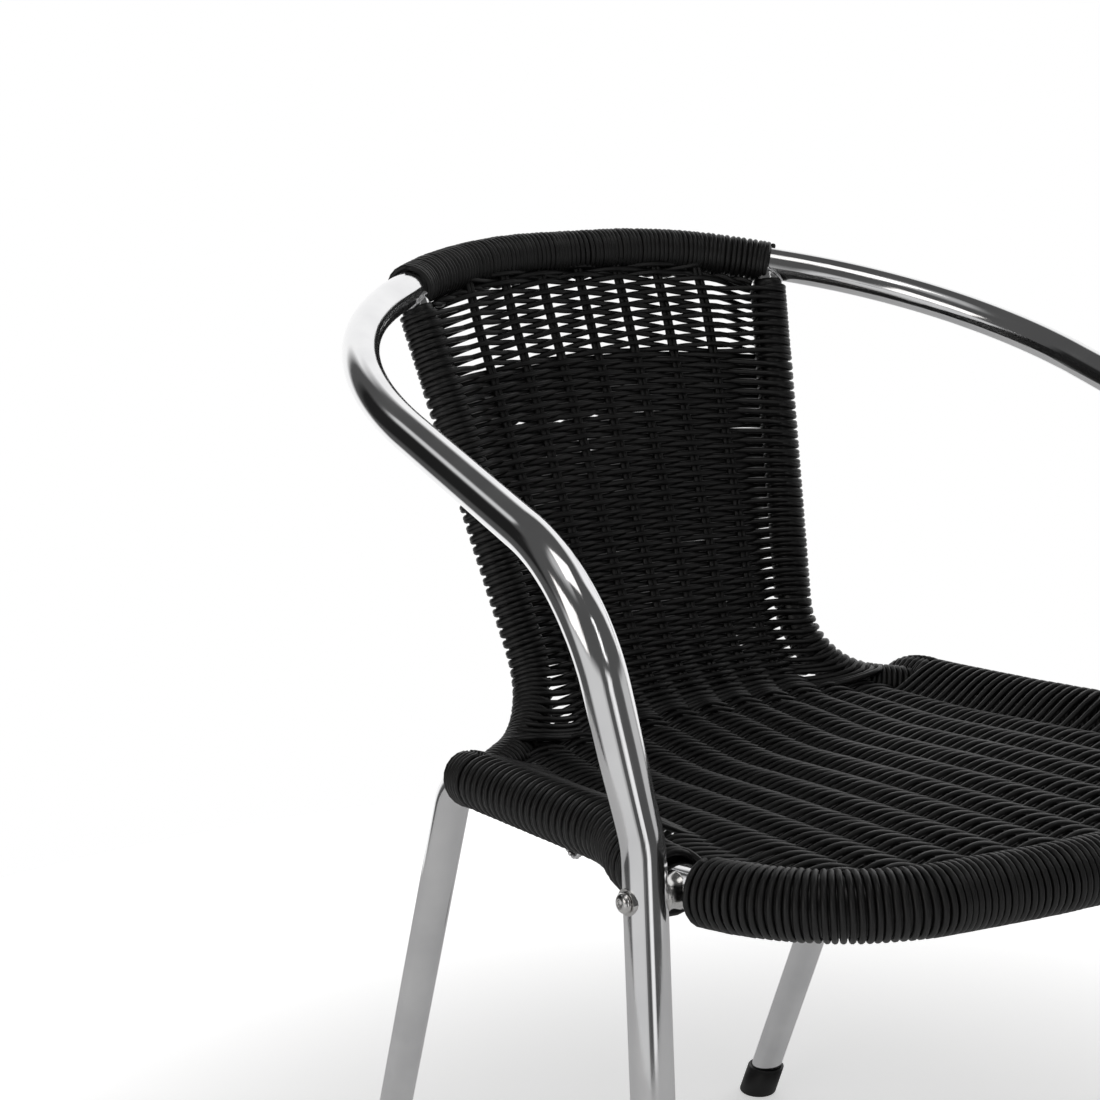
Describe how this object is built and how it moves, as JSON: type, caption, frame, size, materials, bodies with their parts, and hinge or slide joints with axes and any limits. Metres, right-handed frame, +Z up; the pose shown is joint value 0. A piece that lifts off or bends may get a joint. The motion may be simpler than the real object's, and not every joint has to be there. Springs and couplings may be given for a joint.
{
  "type": "woven stacking armchair",
  "caption": "Stacking bistro armchair with bent metal tube arms and legs, and a woven cord back and seat wound round its rails.",
  "frame": {"origin": "on the floor, under the middle of the chair's bounding box", "axes": "+Z up, -Y the way the sitter faces, +X to the right as seen from the front, which is what right means in the node names; the chair mirrors across X = 0"},
  "size_m": [0.5634, 0.6186, 0.7412],
  "materials": {
    "polished_aluminium": "polished",
    "wicker_cord": "satin extruded cord, charcoal black",
    "steel_hardware": "bright plated",
    "foot_plastic": "matte moulded, black"
  },
  "bodies": {
    "root": {"arm_and_front_leg_tube": "polished_aluminium", "seat_and_rear_leg_tube": "polished_aluminium", "right_back_rod": "polished_aluminium", "left_back_rod": "polished_aluminium", "seat_cross_tube": "polished_aluminium", "top_rail_wrap": "wicker_cord", "front_rail_wrap": "wicker_cord", "right_side_rail_wrap": "wicker_cord", "left_side_rail_wrap": "wicker_cord", "right_upright_wrap": "wicker_cord", "left_upright_wrap": "wicker_cord", "back_weave": "wicker_cord", "seat_weave": "wicker_cord", "right_corner_bolt": "steel_hardware", "left_corner_bolt": "steel_hardware", "right_saddle_washer": "steel_hardware", "left_saddle_washer": "steel_hardware", "right_corner_nut": "steel_hardware", "left_corner_nut": "steel_hardware", "right_corner_spacer": "steel_hardware", "left_corner_spacer": "steel_hardware", "right_front_foot_cap": "foot_plastic", "left_front_foot_cap": "foot_plastic", "right_rear_foot_cap": "foot_plastic", "left_rear_foot_cap": "foot_plastic"}
  },
  "joints": []
}
